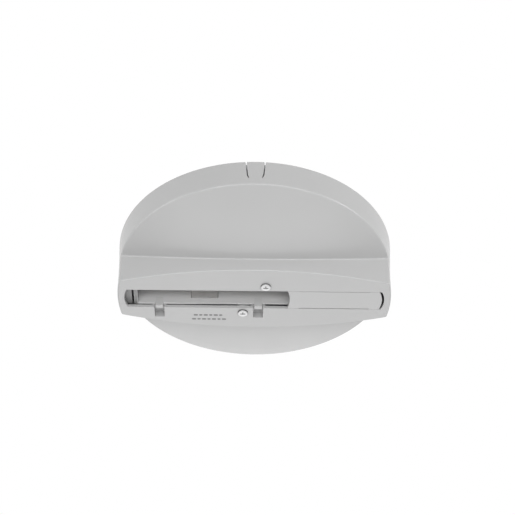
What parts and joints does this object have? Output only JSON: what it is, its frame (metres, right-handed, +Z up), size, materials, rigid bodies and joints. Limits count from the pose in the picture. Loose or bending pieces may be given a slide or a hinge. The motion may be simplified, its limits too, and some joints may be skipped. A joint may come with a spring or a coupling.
{
  "type": "ceiling access point",
  "caption": "Round domed ceiling access point with a raised bar, a long adapter opening with hook notches over a contact channel, and a sliding blanking strip.",
  "frame": {"origin": "centre of the round ceiling face, on the ceiling plane", "axes": "+Z up into the ceiling, the body hangs towards -Z; +X along the raised bar towards the blanking slide; +Y towards the edge with the hook notches, -Y towards the side cable entry"},
  "size_m": [0.194, 0.194, 0.0438],
  "materials": {
    "canopy_plastic": "fine satin moulding",
    "carrier_plastic": "satin moulding",
    "slide_plastic": "fine satin moulding",
    "insulating_plastic": "natural white moulding",
    "black_rubber": "matt",
    "screw_steel": "bright zinc plate",
    "plate_steel": "galvanised",
    "contact_brass": "bare",
    "contact_nickel": "nickel plated",
    "line_insulation": "brown PVC",
    "neutral_insulation": "blue PVC",
    "earth_insulation": "green and yellow PVC"
  },
  "bodies": {
    "housing": {"canopy_cover": "canopy_plastic", "cover_screws": "screw_steel", "carrier_body": "carrier_plastic", "adapter_catches": "carrier_plastic", "threaded_inserts": "contact_brass", "channel_end_cap": "carrier_plastic", "conductor_line_1": "contact_brass", "conductor_line_2": "contact_brass", "conductor_line_3": "contact_brass", "conductor_neutral": "contact_brass", "phase_bridge": "contact_brass", "earth_contact": "contact_nickel", "plate_earth_screw": "screw_steel", "connection_cover": "insulating_plastic", "wire_line": "line_insulation", "wire_neutral": "neutral_insulation", "wire_earth": "earth_insulation", "ceiling_plate": "plate_steel", "carrier_pillars": "plate_steel", "carrier_screws": "screw_steel", "cable_grommet": "black_rubber", "terminal_block": "insulating_plastic", "terminal_clamps": "contact_brass", "terminal_screws": "screw_steel", "terminal_block_screws": "screw_steel", "cable_saddle": "insulating_plastic", "cable_saddle_screws": "screw_steel"},
    "slide": {"blanking_slide": "slide_plastic"}
  },
  "joints": [
    {"name": "blanking_slide_travel", "type": "slide", "parent": "housing", "child": "slide", "axis": [1, 0, 0], "range_m": [-0.017, 0.0012]}
  ]
}
